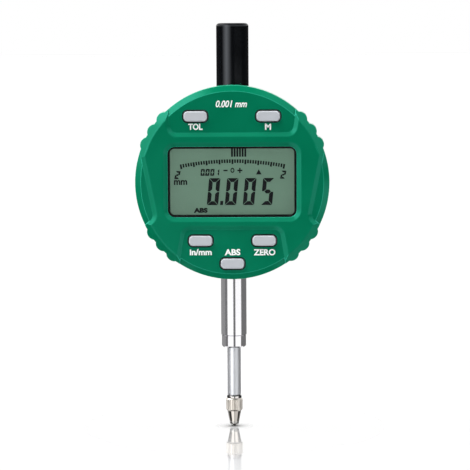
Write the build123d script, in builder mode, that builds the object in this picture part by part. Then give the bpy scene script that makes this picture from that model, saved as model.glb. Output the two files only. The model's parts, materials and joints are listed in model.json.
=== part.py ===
"""Digital dial indicator: a plunger gauge with a turning display head, a clamping stem and a lug back.

Units are millimetres. +Z runs up the spindle and the display faces -Y. The origin is on the spindle
axis, at the middle of the clamping length of the stem. Heights called z in the sections below are
measured from the centre of the case, which lies CASE_Z above the origin.
"""

from build123d import *
import os
from math import atan2, cos, degrees, hypot, pi, radians, sin

# ---------------------------------------------------------------- driving dimensions

# heights along the spindle, from the centre of the case
CAP_TOP = 49.0
BOSS_END = 29.0  # flat ends of the two bosses on the rim of the case
STEM_TOP = -29.5
STEM_END = -48.9
BUSH_END = -52.8
SPINDLE_END = -68.4
SEAL_END = -69.2
COLLAR_END = -73.35
TIP_END = -78.3
SPINDLE_TOP = 33.5
CASE_Z = -(STEM_TOP + STEM_END) / 2

# turned parts, all radii
STEM_R = 4.0
STEM_BORE_R = 3.0
SPINDLE_R = 2.1
RUNNING_GAP = 0.03
GUIDE_R = SPINDLE_R + RUNNING_GAP
CAP_R = 5.05
CAP_BORE_R = 3.9
BALL_R = 1.5
TRAVEL = 12.7

# display head: depths along Y, front first
FACE_Y = -15.0  # raised middle of the face
FLOOR_Y = -14.4  # sunk panels of the face
INNER_Y = -12.8  # inside of the front wall
PLATE_Y = -7.4  # front of the plate that closes the head
HEAD_BACK_Y = -6.2
HEAD_R = 30.0
HEAD_BORE_R = 28.3
RIM_WIDTH = 1.8
RIM_DEPTH = 1.2
WALL_SLOPE = 63.0  # degrees, lean of the walls around the sunk panels
BUMP_R = 2.4
BUMP_REACH = 30.85
BUMP_ANGLES = [43.0, 33.5, 24.3, -32.3, -41.3, -50.5]  # degrees above +X, repeated mirrored

# window and display
WINDOW = (39.75, 21.8)
WINDOW_R = 2.3
WINDOW_Z = 0.25
WINDOW_BEVEL = 1.3
WINDOW_BEVEL_DEPTH = 0.7
PANE = (42.4, 24.3)
PANE_FRONT_Y = -13.9
LCD_FRONT_Y = -12.7
LCD_BACK_Y = -11.1
BOARD_FRONT_Y = -10.0
BOARD_BACK_Y = -8.6

# buttons
BUTTON = (7.2, 3.1)
BUTTON_R = 1.2
BUTTON_GAP = 0.3
BUTTON_FRONT_Y = -15.1
BUTTON_STROKE = 0.5
BUTTON_PLACES = {
    "button_tolerance": (-11.2, 20.5),
    "button_memory": (11.2, 20.5),
    "button_unit": (-9.8, -17.9),
    "button_zero": (9.8, -17.9),
    "button_abs": (0.0, -25.0),
}

# rear case
CASE_FRONT_Y = -5.9
CASE_FLOOR_Y = -4.4
CASE_RIM_Y = 6.2
COVER_Y = 6.5
COVER_BACK_Y = 8.7
CASE_R = 28.5
CASE_BORE_R = 27.0
BOSS_R = 5.8
HUB_R = 11.0  # collar the head turns on
HUB_BORE_R = 9.0
HUB_FRONT_Y = -8.3
HUB_GROOVE = (-7.95, -7.45)
HUB_GROOVE_R = 10.3
SEAL_GROOVE_R = 23.6

# lug on the back cover
LUG_WIDTH = 5.0
LUG_R = 6.0
LUG_HOLE_R = 3.25
LUG_HOLE_Y = 16.2

# battery
BATTERY_PLACE = (15.0, 0.0)
BATTERY_R = 10.0
BATTERY_Y = (3.0, 6.2)
BATTERY_CAP_R = 10.8

# screws
COVER_SCREW = 17.9  # x and z of the four cover screws
HEAD_SCREW = (19.8, 16.6)  # x and z of the four head screws
SCREW_R = 0.8

FIT = 0.02  # clearance of parts that are pushed together

# roundings and walls of the face
FACE_EDGE = 0.8  # around the raised middle
SLOT_EDGE = 0.3  # at the mouths of the button slots
WALL_FOOT = 0.3  # where the walls meet the sunk panels
WALL_WIDTH = 1.25  # width of the walls around the sunk panels, seen from the front

# what the head holds
POST_R = 1.8
HEAD_SCREW_LENGTH = 4.0
HEAD_SCREW_HEAD = 0.7
SCREW_HEAD_R = 1.5
PANE_BACK_Y = -13.1
GASKET_LIP = 0.55  # how far the gasket shows inside the window
LCD = (42.0, 25.0)
HOLDER_WALL = 1.2
ZEBRA = (36.0, 1.6)
ZEBRA_SPREAD = LCD[1] - 3.6  # between the two strips
BOARD_R = 27.6
CHIP_BACK_Y = -7.5
CHIPS = {  # name: (x, z, width, height)
    "processor": (-17.5, 3.0, 7.0, 7.0),
    "memory": (17.0, 4.0, 4.4, 3.9),
    "crystal": (16.5, -3.5, 2.4, 5.0),
    "regulator": (0.0, 16.5, 6.0, 2.5),
    "driver": (0.0, -17.5, 9.0, 3.0),
}
RIBBON_SOCKET = (4.0, 2.4)
SWITCH = (4.2, 3.2)
SWITCH_FRONT_Y = -11.3
SWITCH_PIP_R = 0.8
FLANGE_Y = (-12.75, -12.05)  # front and back of the flange behind each button
SWITCH_PIP_Y = FLANGE_Y[1] + BUTTON_STROKE + 0.05
FLANGE_LIP = 0.9
BUTTON_EDGE = 0.35
SNAP_RING_R = 12.2
SNAP_RING_GAP = 4.0
SNAP_RING_EYES = [(3.2, -11.6), (-3.2, -11.6)]
SNAP_RING_EYE_R = 1.0
SNAP_RING_EYE_HOLE_R = 0.4

# the case and what it holds
CASE_EDGE = 0.5
SHANK_R = 4.5
STEM_INNER = -24.0
BOSS_INNER = 23.0
UPPER_BUSH_R = 3.2
SEAL_R = 0.5
SEAL_Y = -5.65
SEAL_GROOVE_DEPTH = 0.8
PORT = (9.0, 4.0)
PORT_CORNER_R = 1.0
PORT_Y = 0.4
PORT_BOARD = (9.0, 12.0)
PORT_BOARD_X = -20.0
PORT_BOARD_THICKNESS = 0.8
CONNECTOR = (7.6, 3.4)  # along z and y
CONNECTOR_WALL = 0.7
CONNECTOR_TONGUE = (5.0, 0.6)
CONNECTOR_X = (-26.0, -21.5, -20.9)  # mouth, floor of the socket and back
CONNECTOR_FOOT = (-23.9, -20.9)  # its ends along x
COVER_SCREW_HEAD_R = 1.9
COVER_SEAT = 1.1
COVER_SCREW_LENGTH = 5.0
CAP_LEDGE = 1.2
BATTERY_PLUG_R = 10.2
BATTERY_PLUG_Y = 8.0
BATTERY_CAN_R = 8.9  # smaller, negative end of the battery
BATTERY_STEP = 0.3
CAP_FACE_Y = 9.0
COIN_SLOT = (14.0, 1.8)
COIN_SLOT_DEPTH = 1.0
GRIP_DIMPLES = 12
GRIP_DIMPLE_R = 0.7
CAP_SEAL_R = 0.35
CAP_SEAL_Y = 7.05
CONTACT_GAP = 0.1
POSITIVE_RING = (5.0, 3.2)  # outer and inner radius
NEGATIVE_RING = (4.0, 2.4)
NEGATIVE_BAR = (12.0, 1.6)
NEGATIVE_THICKNESS = 0.2
CRADLE_R = 10.8
CRADLE_Y = 2.2
CRADLE_LEGS = [(20.0, 7.0), (20.0, -7.0)]
CRADLE_LEG_R = 1.2
BUSH_COLLAR_R = 3.8
BUSH_CHAMFER = 0.35
BUSH_NECK = 0.25
BUMPER_TOP = -22.5
BUMPER_R = 4.2
BUMPER_BORE_R = 2.5
BUSH_DEPTH = 5.0  # how far the lower bush reaches into the stem
SPIGOT_HEIGHT = 4.0  # of the upper bush, inside the cap
STOP_COLLAR_R = 3.3
STOP_COLLAR_Z = (-22.45, -20.6)
CAP_EDGE = 1.0
CAP_FOOT_EDGE = 0.25
CAP_ROOF = 1.6

# spindle train
THREAD_R = 1.05
THREAD_DEPTH = 7.0
SEAL_RING_R = 2.3
SEAL_RING_EDGE = 0.2
COLLAR_R = 2.6
COLLAR_CHAMFER = 0.45
KNURLS = 28
KNURL_DEPTH = 0.16
CONE_R = 2.17
CONE_ROOT = 0.5  # how far the nose reaches up into the collar
NOSE_R = 1.47
STUD_LENGTH = THREAD_DEPTH - 0.5
SPINDLE_EDGE = 0.3
SPINDLE_TOP_EDGE = 0.4
CARRIER_X = 3.7
CARRIER_Y = (-2.5, 3.3)
CARRIER_Z = (-8.0, 0.0)
CLAMP_SCREW_Z = -6.0
CLAMP_KEY_R = 0.45
CLAMP_KEY_DEPTH = 0.7
GUIDE_PIN_Z = -4.0
GUIDE_PIN_R = 0.98
GUIDE_PIN_X = (-11.6, -2.3)
GUIDE_X = (12.0, 8.2)  # outer and inner distance of the guide from the spindle
GUIDE_Z = (-14.0, 14.0)
GUIDE_SLOT_END = 0.3  # room past the pin at each end of its travel
GUIDE_SLOT_Z = (
    GUIDE_PIN_Z - GUIDE_PIN_R - GUIDE_SLOT_END,
    GUIDE_PIN_Z + TRAVEL + GUIDE_PIN_R + GUIDE_SLOT_END,
)
GUIDE_BACK_Y = 2.6
GUIDE_SCREWS = [(-10.1, -10.0), (-10.1, 12.2)]
GUIDE_SCREW_HEAD = (1.35, 0.8)  # radius and height
SCALE_Y = (-3.1, -2.5)
SCALE_Z = (-19.5, 7.5)
SCALE_WIDTH = 8.0
SENSOR_X = 8.0
SENSOR_Z = 15.0
SENSOR_BACK_Y = -3.6
SENSOR_SCREWS = [(-6.2, 13.0), (6.2, -13.0)]
SENSOR_SCREW_HEAD = (1.3, 0.6)
SENSOR_SOCKET = (5.0, 2.0)
SENSOR_SOCKET_Z = -7.3
BOSS_SCREW_DEPTH = 0.9  # how far the short screws reach into the wall of the case
SPRING_X = 7.5
SPRING_Y = -0.8
SPRING_ARM_Y = (0.9, 2.0)
SPRING_ARM_R = 1.5
SPRING_PIN_R = 0.6
SPRING_PIN_REACH = 0.9  # how far the pins pass through the eyes of the spring
SPRING_COIL_R = 1.3
SPRING_WIRE_R = 0.15
SPRING_EYE_R = 1.25
SPRING_TURNS = 30
HOOK_PIN_Z = -1.5
ANCHOR_PIN_Z = -21.9
SPRING_EYE_OFFSET = SPRING_EYE_R - SPRING_WIRE_R - SPRING_PIN_R - FIT
SPRING_EYES_Z = (ANCHOR_PIN_Z + SPRING_EYE_OFFSET, HOOK_PIN_Z - SPRING_EYE_OFFSET)
SPRING_COIL_Z = (SPRING_EYES_Z[0] + 0.5, SPRING_EYES_Z[1] - 0.5)
RIBBON_BACK_Y = -5.6
RIBBON_FRONT_Y = -8.0
RIBBON_INNER_R = 2.0
RIBBON_OUTER_R = 7.5
RIBBON_TURNS = 3.0
RIBBON_PITCH = (RIBBON_OUTER_R - RIBBON_INNER_R) / RIBBON_TURNS
RIBBON_STEPS = 12  # points in a turn
RIBBON_THICKNESS = 0.15

made = {}

# ---------------------------------------------------------------- helpers


def front(y):
    """The plane across the case at depth y, seen from the front: x to the right, z up."""
    return Plane(origin=(0, y, CASE_Z), x_dir=(1, 0, 0), z_dir=(0, -1, 0))


def across(z):
    """The plane across the spindle at height z."""
    return Plane.XY.offset(CASE_Z + z)


def turn_axis(x=0.0, z=0.0):
    """An axis along Y through a point of the case's face."""
    return Axis((x, 0, CASE_Z + z), (0, 1, 0))


def keep(piece, label):
    """Labels a finished piece and lists it for export."""
    piece.part.label = label
    made[label] = piece.part


def corners(x, z):
    """The four places at plus and minus x and z."""
    return [(x, z), (-x, z), (-x, -z), (x, -z)]


def turned(label, outline):
    """A piece turned about the spindle axis from (radius, z) corners."""
    with BuildPart() as piece:
        with BuildSketch(front(0)):
            with BuildLine():
                Polyline(*outline, close=True)
            make_face()
        revolve(axis=Axis.Z)
    keep(piece, label)


def screws(label, places, head_y, tip_y, head_r, head_height):
    """A set of screws along Y whose heads face +Y, each a separate solid with a cross recess."""
    with BuildPart() as piece:
        with BuildSketch(front(tip_y)):
            with Locations(*places):
                Circle(SCREW_R - FIT)
        extrude(amount=tip_y - (head_y - head_height))
        with BuildSketch(front(head_y)):
            with Locations(*places):
                Circle(head_r)
        extrude(amount=head_height)
        with BuildSketch(front(head_y)):
            with Locations(*places):
                Rectangle(head_r * 1.1, head_r * 0.28)
                Rectangle(head_r * 0.28, head_r * 1.1)
        extrude(amount=head_height * 0.6, mode=Mode.SUBTRACT)
    keep(piece, label)


# ---------------------------------------------------------------- display head


def bumps(mirrored):
    """Centres of the grip bumps on one side of the head's rim."""
    side = -1 if mirrored else 1
    distance = BUMP_REACH - BUMP_R
    return [(side * distance * cos(radians(a)), distance * sin(radians(a))) for a in BUMP_ANGLES]


def coin(y):
    """Half outline of a disc with a bevelled front edge at depth y, as (radius, depth) points."""
    slope = RIM_DEPTH / RIM_WIDTH
    far = 3.0
    return [
        (0, y),
        (HEAD_R - RIM_WIDTH, y),
        (HEAD_R + far, y + slope * (RIM_WIDTH + far)),
        (HEAD_R + far, HEAD_BACK_Y),
        (0, HEAD_BACK_Y),
    ]


def coin_sketch(y):
    """The coin outline on the YZ plane through the head's axis, as a closed face."""
    with BuildSketch(Plane(origin=(0, 0, CASE_Z), x_dir=(0, 0, 1), z_dir=(-1, 0, 0))) as outline:
        with BuildLine():
            Polyline(*coin(y), close=True)
        make_face()
    return outline


def panel_outlines(inset):
    """The sunk panels of the face, as a sketch in the case's x and z, shrunk by inset."""
    upper = [(-19.7, 14.3), (19.7, 14.3), (20.9, 22.0), (23.0, 35.0), (-23.0, 35.0), (-20.9, 22.0)]
    lower = [(15.6, -13.3), (-15.6, -13.3), (-19.4, -35.0), (19.4, -35.0)]
    side = [(-27.2, 9.8), (-23.0, -11.0), (-28.6, -16.2), (-36.0, -18.0), (-36.0, 12.6)]
    with BuildSketch() as panels:
        for outline, rounded, radius in ((upper, 2, 3.2), (lower, 2, 3.2), (side, 0, 3.4)):
            with BuildSketch(mode=Mode.ADD) as panel:
                with BuildLine():
                    Polyline(*outline, close=True)
                make_face()
                near = panel.vertices().sort_by_distance((0, 0, 0))
                fillet(near[:2] if rounded else near[:1], radius)
                if inset:
                    offset(amount=-inset, kind=Kind.INTERSECTION)
        mirror(about=Plane.YZ)
    return panels.sketch


def faces_at(piece, y):
    """The flat faces of a piece that lie at depth y."""
    return [face for face in piece.faces().filter_by(Axis.Y) if abs(face.center().Y - y) < 0.01]


def axis_distance(edge):
    """Distance of an edge's middle from the axis that the head turns on."""
    middle = edge @ 0.5
    return hypot(middle.X, middle.Z - CASE_Z)


with BuildPart() as raised_face:
    # raised middle of the face, out to a bumped and bevelled rim
    with BuildSketch(front(HEAD_BACK_Y)):
        Circle(HEAD_R)
        with Locations(*bumps(False), *bumps(True)):
            Circle(BUMP_R)
    extrude(amount=HEAD_BACK_Y - FACE_Y)
    add(coin_sketch(FACE_Y).sketch)
    revolve(axis=turn_axis(), mode=Mode.INTERSECT)
    # sunk panels at the top, the bottom and both sides, with sloping walls
    with BuildSketch(front(FACE_Y)):
        add(panel_outlines(0))
    extrude(amount=-(FLOOR_Y - FACE_Y), taper=WALL_SLOPE, mode=Mode.SUBTRACT)
    with BuildSketch(front(FLOOR_Y)):
        add(panel_outlines(WALL_WIDTH))
    extrude(amount=-(HEAD_BACK_Y - FLOOR_Y), mode=Mode.SUBTRACT)

with BuildPart() as head_shell:
    # the disc under the sunk panels has its own bevelled rim
    with BuildSketch(front(HEAD_BACK_Y)):
        Circle(HEAD_R)
    extrude(amount=HEAD_BACK_Y - FLOOR_Y)
    add(coin_sketch(FLOOR_Y).sketch)
    revolve(axis=turn_axis(), mode=Mode.INTERSECT)
    add(raised_face.part)
    # hollow behind the front wall, with four screw posts left standing
    with BuildSketch(front(HEAD_BACK_Y)):
        Circle(HEAD_BORE_R)
    extrude(amount=HEAD_BACK_Y - INNER_Y, mode=Mode.SUBTRACT)
    with BuildSketch(front(PLATE_Y)):
        with Locations(*corners(*HEAD_SCREW)):
            Circle(POST_R)
    extrude(amount=PLATE_Y - INNER_Y)
    with BuildSketch(front(PLATE_Y)):
        with Locations(*corners(*HEAD_SCREW)):
            Circle(SCREW_R)
    extrude(amount=HEAD_SCREW_LENGTH, mode=Mode.SUBTRACT)
    # window with a bevelled surround, and the seat of its pane behind
    with BuildSketch(front(FACE_Y)):
        with Locations((0, WINDOW_Z)):
            RectangleRounded(
                WINDOW[0] + 2 * WINDOW_BEVEL, WINDOW[1] + 2 * WINDOW_BEVEL, WINDOW_R + WINDOW_BEVEL
            )
    extrude(
        amount=-WINDOW_BEVEL_DEPTH,
        taper=degrees(atan2(WINDOW_BEVEL, WINDOW_BEVEL_DEPTH)),
        mode=Mode.SUBTRACT,
    )
    with BuildSketch(front(INNER_Y)):
        with Locations((0, WINDOW_Z)):
            RectangleRounded(*WINDOW, WINDOW_R)
    extrude(amount=INNER_Y - FACE_Y, mode=Mode.SUBTRACT)
    with BuildSketch(front(INNER_Y)):
        with Locations((0, WINDOW_Z)):
            RectangleRounded(PANE[0] + 2 * FIT, PANE[1] + 2 * FIT, WINDOW_R + 1)
    extrude(amount=INNER_Y - PANE_FRONT_Y, mode=Mode.SUBTRACT)
    # slots for the buttons
    with BuildSketch(front(INNER_Y)):
        with Locations(*BUTTON_PLACES.values()):
            RectangleRounded(BUTTON[0] + 2 * BUTTON_GAP, BUTTON[1] + 2 * BUTTON_GAP, BUTTON_R + BUTTON_GAP)
    extrude(amount=INNER_Y - FACE_Y, mode=Mode.SUBTRACT)
    # rounded edges: around the raised middle, at the mouths of the slots and at the feet of the walls
    fillet(head_shell.faces().sort_by(Axis.Y)[0].edges(), FACE_EDGE)
    floors = faces_at(head_shell, FLOOR_Y)
    fillet([edge for floor in floors for wire in floor.inner_wires() for edge in wire.edges()], SLOT_EDGE)
    floors = faces_at(head_shell, FLOOR_Y)
    floor_edges = [edge for floor in floors for edge in floor.outer_wire().edges()]
    fillet([edge for edge in floor_edges if axis_distance(edge) < HEAD_R - RIM_WIDTH - 0.3], WALL_FOOT)
keep(head_shell, "head_shell")

with BuildPart() as window_pane:
    with BuildSketch(front(PANE_BACK_Y)):
        with Locations((0, WINDOW_Z)):
            RectangleRounded(*PANE, WINDOW_R + 1)
    extrude(amount=PANE_BACK_Y - PANE_FRONT_Y)
keep(window_pane, "window_pane")

with BuildPart() as window_gasket:
    with BuildSketch(front(LCD_FRONT_Y)):
        with Locations((0, WINDOW_Z)):
            RectangleRounded(*PANE, WINDOW_R + 1)
            RectangleRounded(
                WINDOW[0] - 2 * GASKET_LIP,
                WINDOW[1] - 2 * GASKET_LIP,
                WINDOW_R - GASKET_LIP,
                mode=Mode.SUBTRACT,
            )
    extrude(amount=LCD_FRONT_Y - PANE_BACK_Y)
keep(window_gasket, "window_gasket")

with BuildPart() as lcd_panel:
    with BuildSketch(front(LCD_BACK_Y)):
        with Locations((0, WINDOW_Z)):
            Rectangle(*LCD)
    extrude(amount=LCD_BACK_Y - LCD_FRONT_Y)
    chamfer(lcd_panel.edges().group_by(Axis.Y)[0], 0.15)
keep(lcd_panel, "lcd_panel")

with BuildPart() as lcd_holder:
    with BuildSketch(front(BOARD_FRONT_Y)):
        with Locations((0, WINDOW_Z)):
            RectangleRounded(LCD[0] + 2 * HOLDER_WALL, LCD[1] + 2 * HOLDER_WALL, 1.0)
            Rectangle(LCD[0] + 2 * FIT, LCD[1] + 2 * FIT, mode=Mode.SUBTRACT)
    extrude(amount=BOARD_FRONT_Y - LCD_FRONT_Y)
    with BuildSketch(front(BOARD_FRONT_Y)):
        with Locations((0, WINDOW_Z)):
            Rectangle(LCD[0] + 1, LCD[1] + 1)
            Rectangle(LCD[0] - 1.6, LCD[1] - 7.0, mode=Mode.SUBTRACT)
            with GridLocations(0, ZEBRA_SPREAD, 1, 2):
                Rectangle(ZEBRA[0] + 2 * FIT, ZEBRA[1] + 2 * FIT, mode=Mode.SUBTRACT)
    extrude(amount=BOARD_FRONT_Y - LCD_BACK_Y)
keep(lcd_holder, "lcd_holder")

with BuildPart() as zebra_strips:
    with BuildSketch(front(BOARD_FRONT_Y)):
        with Locations((0, WINDOW_Z)):
            with GridLocations(0, ZEBRA_SPREAD, 1, 2):
                Rectangle(*ZEBRA)
    extrude(amount=BOARD_FRONT_Y - LCD_BACK_Y)
keep(zebra_strips, "zebra_strips")

with BuildPart() as main_board:
    with BuildSketch(front(BOARD_BACK_Y)):
        Circle(BOARD_R)
        with Locations(*corners(*HEAD_SCREW)):
            Circle(POST_R + 0.3, mode=Mode.SUBTRACT)
    extrude(amount=BOARD_BACK_Y - BOARD_FRONT_Y)
keep(main_board, "main_board")

with BuildPart() as board_chips:
    # on the back of the board, outside the hub
    with BuildSketch(front(CHIP_BACK_Y)):
        for x, z, width, height in CHIPS.values():
            with Locations((x, z)):
                Rectangle(width, height)
    extrude(amount=CHIP_BACK_Y - BOARD_BACK_Y)
keep(board_chips, "board_chips")

with BuildPart() as ribbon_socket:
    with BuildSketch(front(RIBBON_FRONT_Y - FIT)):
        Rectangle(*RIBBON_SOCKET)
    extrude(amount=RIBBON_FRONT_Y - FIT - BOARD_BACK_Y)
keep(ribbon_socket, "ribbon_socket")

with BuildPart() as key_switches:
    with BuildSketch(front(BOARD_FRONT_Y)):
        with Locations(*BUTTON_PLACES.values()):
            RectangleRounded(*SWITCH, 0.3)
    extrude(amount=BOARD_FRONT_Y - SWITCH_FRONT_Y)
    with BuildSketch(front(SWITCH_FRONT_Y)):
        with Locations(*BUTTON_PLACES.values()):
            Circle(SWITCH_PIP_R)
    extrude(amount=SWITCH_FRONT_Y - SWITCH_PIP_Y)
keep(key_switches, "key_switches")

for button_name, (button_x, button_z) in BUTTON_PLACES.items():
    with BuildPart() as button:
        with BuildSketch(front(FLANGE_Y[0])):
            with Locations((button_x, button_z)):
                RectangleRounded(*BUTTON, BUTTON_R)
        extrude(amount=FLANGE_Y[0] - BUTTON_FRONT_Y)
        fillet(button.faces().sort_by(Axis.Y)[0].edges(), BUTTON_EDGE)
        with BuildSketch(front(FLANGE_Y[1])):
            with Locations((button_x, button_z)):
                RectangleRounded(
                    BUTTON[0] + 2 * FLANGE_LIP, BUTTON[1] + 2 * FLANGE_LIP, BUTTON_R + FLANGE_LIP
                )
        extrude(amount=FLANGE_Y[1] - FLANGE_Y[0])
    keep(button, button_name)

with BuildPart() as head_plate:
    with BuildSketch(front(HEAD_BACK_Y)):
        Circle(HEAD_BORE_R - FIT)
        Circle(HUB_R + RUNNING_GAP, mode=Mode.SUBTRACT)
    extrude(amount=HEAD_BACK_Y - PLATE_Y)
    with BuildSketch(front(PLATE_Y)):
        with Locations(*corners(*HEAD_SCREW)):
            Circle(SCREW_R)
    extrude(amount=PLATE_Y - HEAD_BACK_Y, mode=Mode.SUBTRACT)
    with BuildSketch(front(HEAD_BACK_Y)):
        with Locations(*corners(*HEAD_SCREW)):
            Circle(SCREW_HEAD_R + FIT)
    extrude(amount=HEAD_SCREW_HEAD, mode=Mode.SUBTRACT)
keep(head_plate, "head_plate")

screws(
    "head_screws",
    corners(*HEAD_SCREW),
    HEAD_BACK_Y,
    PLATE_Y - HEAD_SCREW_LENGTH,
    SCREW_HEAD_R,
    HEAD_SCREW_HEAD,
)

with BuildPart() as head_snap_ring:
    with BuildSketch(front(HUB_GROOVE[1] - FIT)):
        Circle(SNAP_RING_R)
        Circle(HUB_GROOVE_R + FIT, mode=Mode.SUBTRACT)
        with Locations((0, -HUB_R)):
            Rectangle(SNAP_RING_GAP, SNAP_RING_GAP, mode=Mode.SUBTRACT)
        with Locations(*SNAP_RING_EYES):
            Circle(SNAP_RING_EYE_R)
            Circle(SNAP_RING_EYE_HOLE_R, mode=Mode.SUBTRACT)
    extrude(amount=HUB_GROOVE[1] - HUB_GROOVE[0] - 2 * FIT)
keep(head_snap_ring, "head_snap_ring")

# ---------------------------------------------------------------- rear case

with BuildPart() as rear_case:
    with BuildSketch(front(CASE_RIM_Y)):
        Circle(CASE_R)
    extrude(amount=CASE_RIM_Y - CASE_FRONT_Y)
    chamfer(rear_case.edges().group_by(Axis.Y)[0], CASE_EDGE)
    # flat-ended bosses for the stem and the cap
    with BuildSketch(across(STEM_TOP)):
        Circle(BOSS_R)
    extrude(amount=BOSS_END - STEM_TOP)
    with BuildSketch(front(CASE_RIM_Y)):
        Circle(CASE_BORE_R)
    extrude(amount=CASE_RIM_Y - CASE_FLOOR_Y, mode=Mode.SUBTRACT)
    for inner, outer in ((BOSS_INNER, BOSS_END - 1), (STEM_TOP + 1, STEM_INNER)):
        with BuildSketch(across(inner)):
            Circle(BOSS_R - 0.1)
        extrude(amount=outer - inner)
    # posts for the cover screws
    with BuildSketch(front(CASE_RIM_Y)):
        with Locations(*corners(COVER_SCREW, COVER_SCREW)):
            Circle(POST_R + 0.4)
    extrude(amount=CASE_RIM_Y - CASE_FLOOR_Y)
    with BuildSketch(front(CASE_RIM_Y)):
        with Locations(*corners(COVER_SCREW, COVER_SCREW)):
            Circle(SCREW_R)
    extrude(amount=COVER_SCREW_LENGTH, mode=Mode.SUBTRACT)
    # hub that carries the head, with its snap ring groove
    with BuildSketch(front(CASE_FRONT_Y)):
        Circle(HUB_R)
    extrude(amount=CASE_FRONT_Y - HUB_FRONT_Y)
    with BuildSketch(front(HUB_GROOVE[1])):
        Circle(HUB_R + 0.5)
        Circle(HUB_GROOVE_R, mode=Mode.SUBTRACT)
    extrude(amount=HUB_GROOVE[1] - HUB_GROOVE[0], mode=Mode.SUBTRACT)
    with BuildSketch(front(CASE_FLOOR_Y)):
        Circle(HUB_BORE_R)
    extrude(amount=CASE_FLOOR_Y - HUB_FRONT_Y, mode=Mode.SUBTRACT)
    # groove for the ring that drags on the head plate
    with BuildSketch(front(CASE_FRONT_Y + SEAL_GROOVE_DEPTH)):
        Circle(SEAL_GROOVE_R + SEAL_R + FIT)
        Circle(SEAL_GROOVE_R - SEAL_R - FIT, mode=Mode.SUBTRACT)
    extrude(amount=SEAL_GROOVE_DEPTH, mode=Mode.SUBTRACT)
    # bores for the stem and for the upper bush
    with BuildSketch(across(STEM_TOP - 1)):
        Circle(SHANK_R)
    extrude(amount=STEM_INNER - STEM_TOP + 2, mode=Mode.SUBTRACT)
    with BuildSketch(across(BOSS_INNER - 1)):
        Circle(UPPER_BUSH_R)
    extrude(amount=BOSS_END - BOSS_INNER + 2, mode=Mode.SUBTRACT)
    # holes for the screws of the sensor board and of the guide
    with BuildSketch(front(CASE_FLOOR_Y)):
        with Locations(*SENSOR_SCREWS, *GUIDE_SCREWS):
            Circle(SCREW_R)
    extrude(amount=1.0, mode=Mode.SUBTRACT)
    # data port through the side wall
    with BuildSketch(Plane(origin=(-CASE_R - 1, PORT_Y, CASE_Z), z_dir=(1, 0, 0), x_dir=(0, 1, 0))):
        RectangleRounded(PORT[1], PORT[0], PORT_CORNER_R)
    extrude(amount=CASE_R - CASE_BORE_R + 2, mode=Mode.SUBTRACT)
keep(rear_case, "rear_case")

with BuildPart() as turning_seal:
    with BuildSketch(Plane(origin=(0, 0, CASE_Z), x_dir=(1, 0, 0), z_dir=(0, 0, 1))):
        with Locations((SEAL_GROOVE_R, SEAL_Y)):
            Circle(SEAL_R)
    revolve(axis=turn_axis())
keep(turning_seal, "turning_seal")

with BuildPart() as back_cover:
    with BuildSketch(front(COVER_BACK_Y)):
        Circle(CASE_R)
    extrude(amount=COVER_BACK_Y - COVER_Y)
    fillet(back_cover.edges().group_by(Axis.Y)[-1], 0.6)
    # lug with a cross hole
    with BuildSketch(Plane.YZ.offset(-LUG_WIDTH / 2)):
        with Locations((LUG_HOLE_Y, CASE_Z)):
            Circle(LUG_R)
        with Locations(((COVER_Y + 1 + LUG_HOLE_Y) / 2, CASE_Z)):
            Rectangle(LUG_HOLE_Y - COVER_Y - 1, 2 * LUG_R)
    extrude(amount=LUG_WIDTH)
    chamfer(back_cover.faces().sort_by(Axis.Y)[-1].edges().filter_by(GeomType.CIRCLE), 0.3)
    with BuildSketch(Plane.YZ.offset(-LUG_WIDTH)):
        with Locations((LUG_HOLE_Y, CASE_Z)):
            Circle(LUG_HOLE_R)
    extrude(amount=2 * LUG_WIDTH, mode=Mode.SUBTRACT)
    # opening for the battery cap, with a ledge
    with BuildSketch(front(COVER_BACK_Y)):
        with Locations(BATTERY_PLACE):
            Circle(BATTERY_CAP_R + RUNNING_GAP)
    extrude(amount=CAP_LEDGE, mode=Mode.SUBTRACT)
    with BuildSketch(front(COVER_BACK_Y)):
        with Locations(BATTERY_PLACE):
            Circle(BATTERY_PLUG_R + 2 * RUNNING_GAP)
    extrude(amount=COVER_BACK_Y - COVER_Y, mode=Mode.SUBTRACT)
    # screw holes with sunk seats
    with BuildSketch(front(COVER_BACK_Y)):
        with Locations(*corners(COVER_SCREW, COVER_SCREW)):
            Circle(SCREW_R)
    extrude(amount=COVER_BACK_Y - COVER_Y, mode=Mode.SUBTRACT)
    with BuildSketch(front(COVER_BACK_Y)):
        with Locations(*corners(COVER_SCREW, COVER_SCREW)):
            Circle(COVER_SCREW_HEAD_R + FIT)
    extrude(amount=COVER_SEAT, mode=Mode.SUBTRACT)
keep(back_cover, "back_cover")

screws(
    "cover_screws",
    corners(COVER_SCREW, COVER_SCREW),
    COVER_BACK_Y,
    CASE_RIM_Y - COVER_SCREW_LENGTH,
    COVER_SCREW_HEAD_R,
    COVER_SEAT,
)

with BuildPart() as cover_gasket:
    with BuildSketch(front(COVER_Y)):
        Circle(CASE_R - 0.1)
        Circle(CASE_BORE_R, mode=Mode.SUBTRACT)
    extrude(amount=COVER_Y - CASE_RIM_Y)
keep(cover_gasket, "cover_gasket")

with BuildPart() as data_port_plug:
    plug_plane = Plane(origin=(-CASE_R + 0.4, PORT_Y, CASE_Z), z_dir=(-1, 0, 0), x_dir=(0, 1, 0))
    with BuildSketch(plug_plane):
        RectangleRounded(PORT[1] - 2 * FIT, PORT[0] - 2 * FIT, PORT_CORNER_R)
    extrude(amount=-(CASE_R - CASE_BORE_R))
    with BuildSketch(plug_plane):
        RectangleRounded(PORT[1] - 0.4, PORT[0] - 0.4, 0.9)
    extrude(amount=0.5)
    fillet(data_port_plug.faces().sort_by(Axis.X)[0].edges(), 0.2)
keep(data_port_plug, "data_port_plug")


def side_plane(x):
    """The plane across the data port at x, looking in from the left."""
    return Plane(origin=(x, PORT_Y, CASE_Z), z_dir=(1, 0, 0), x_dir=(0, 1, 0))


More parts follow.
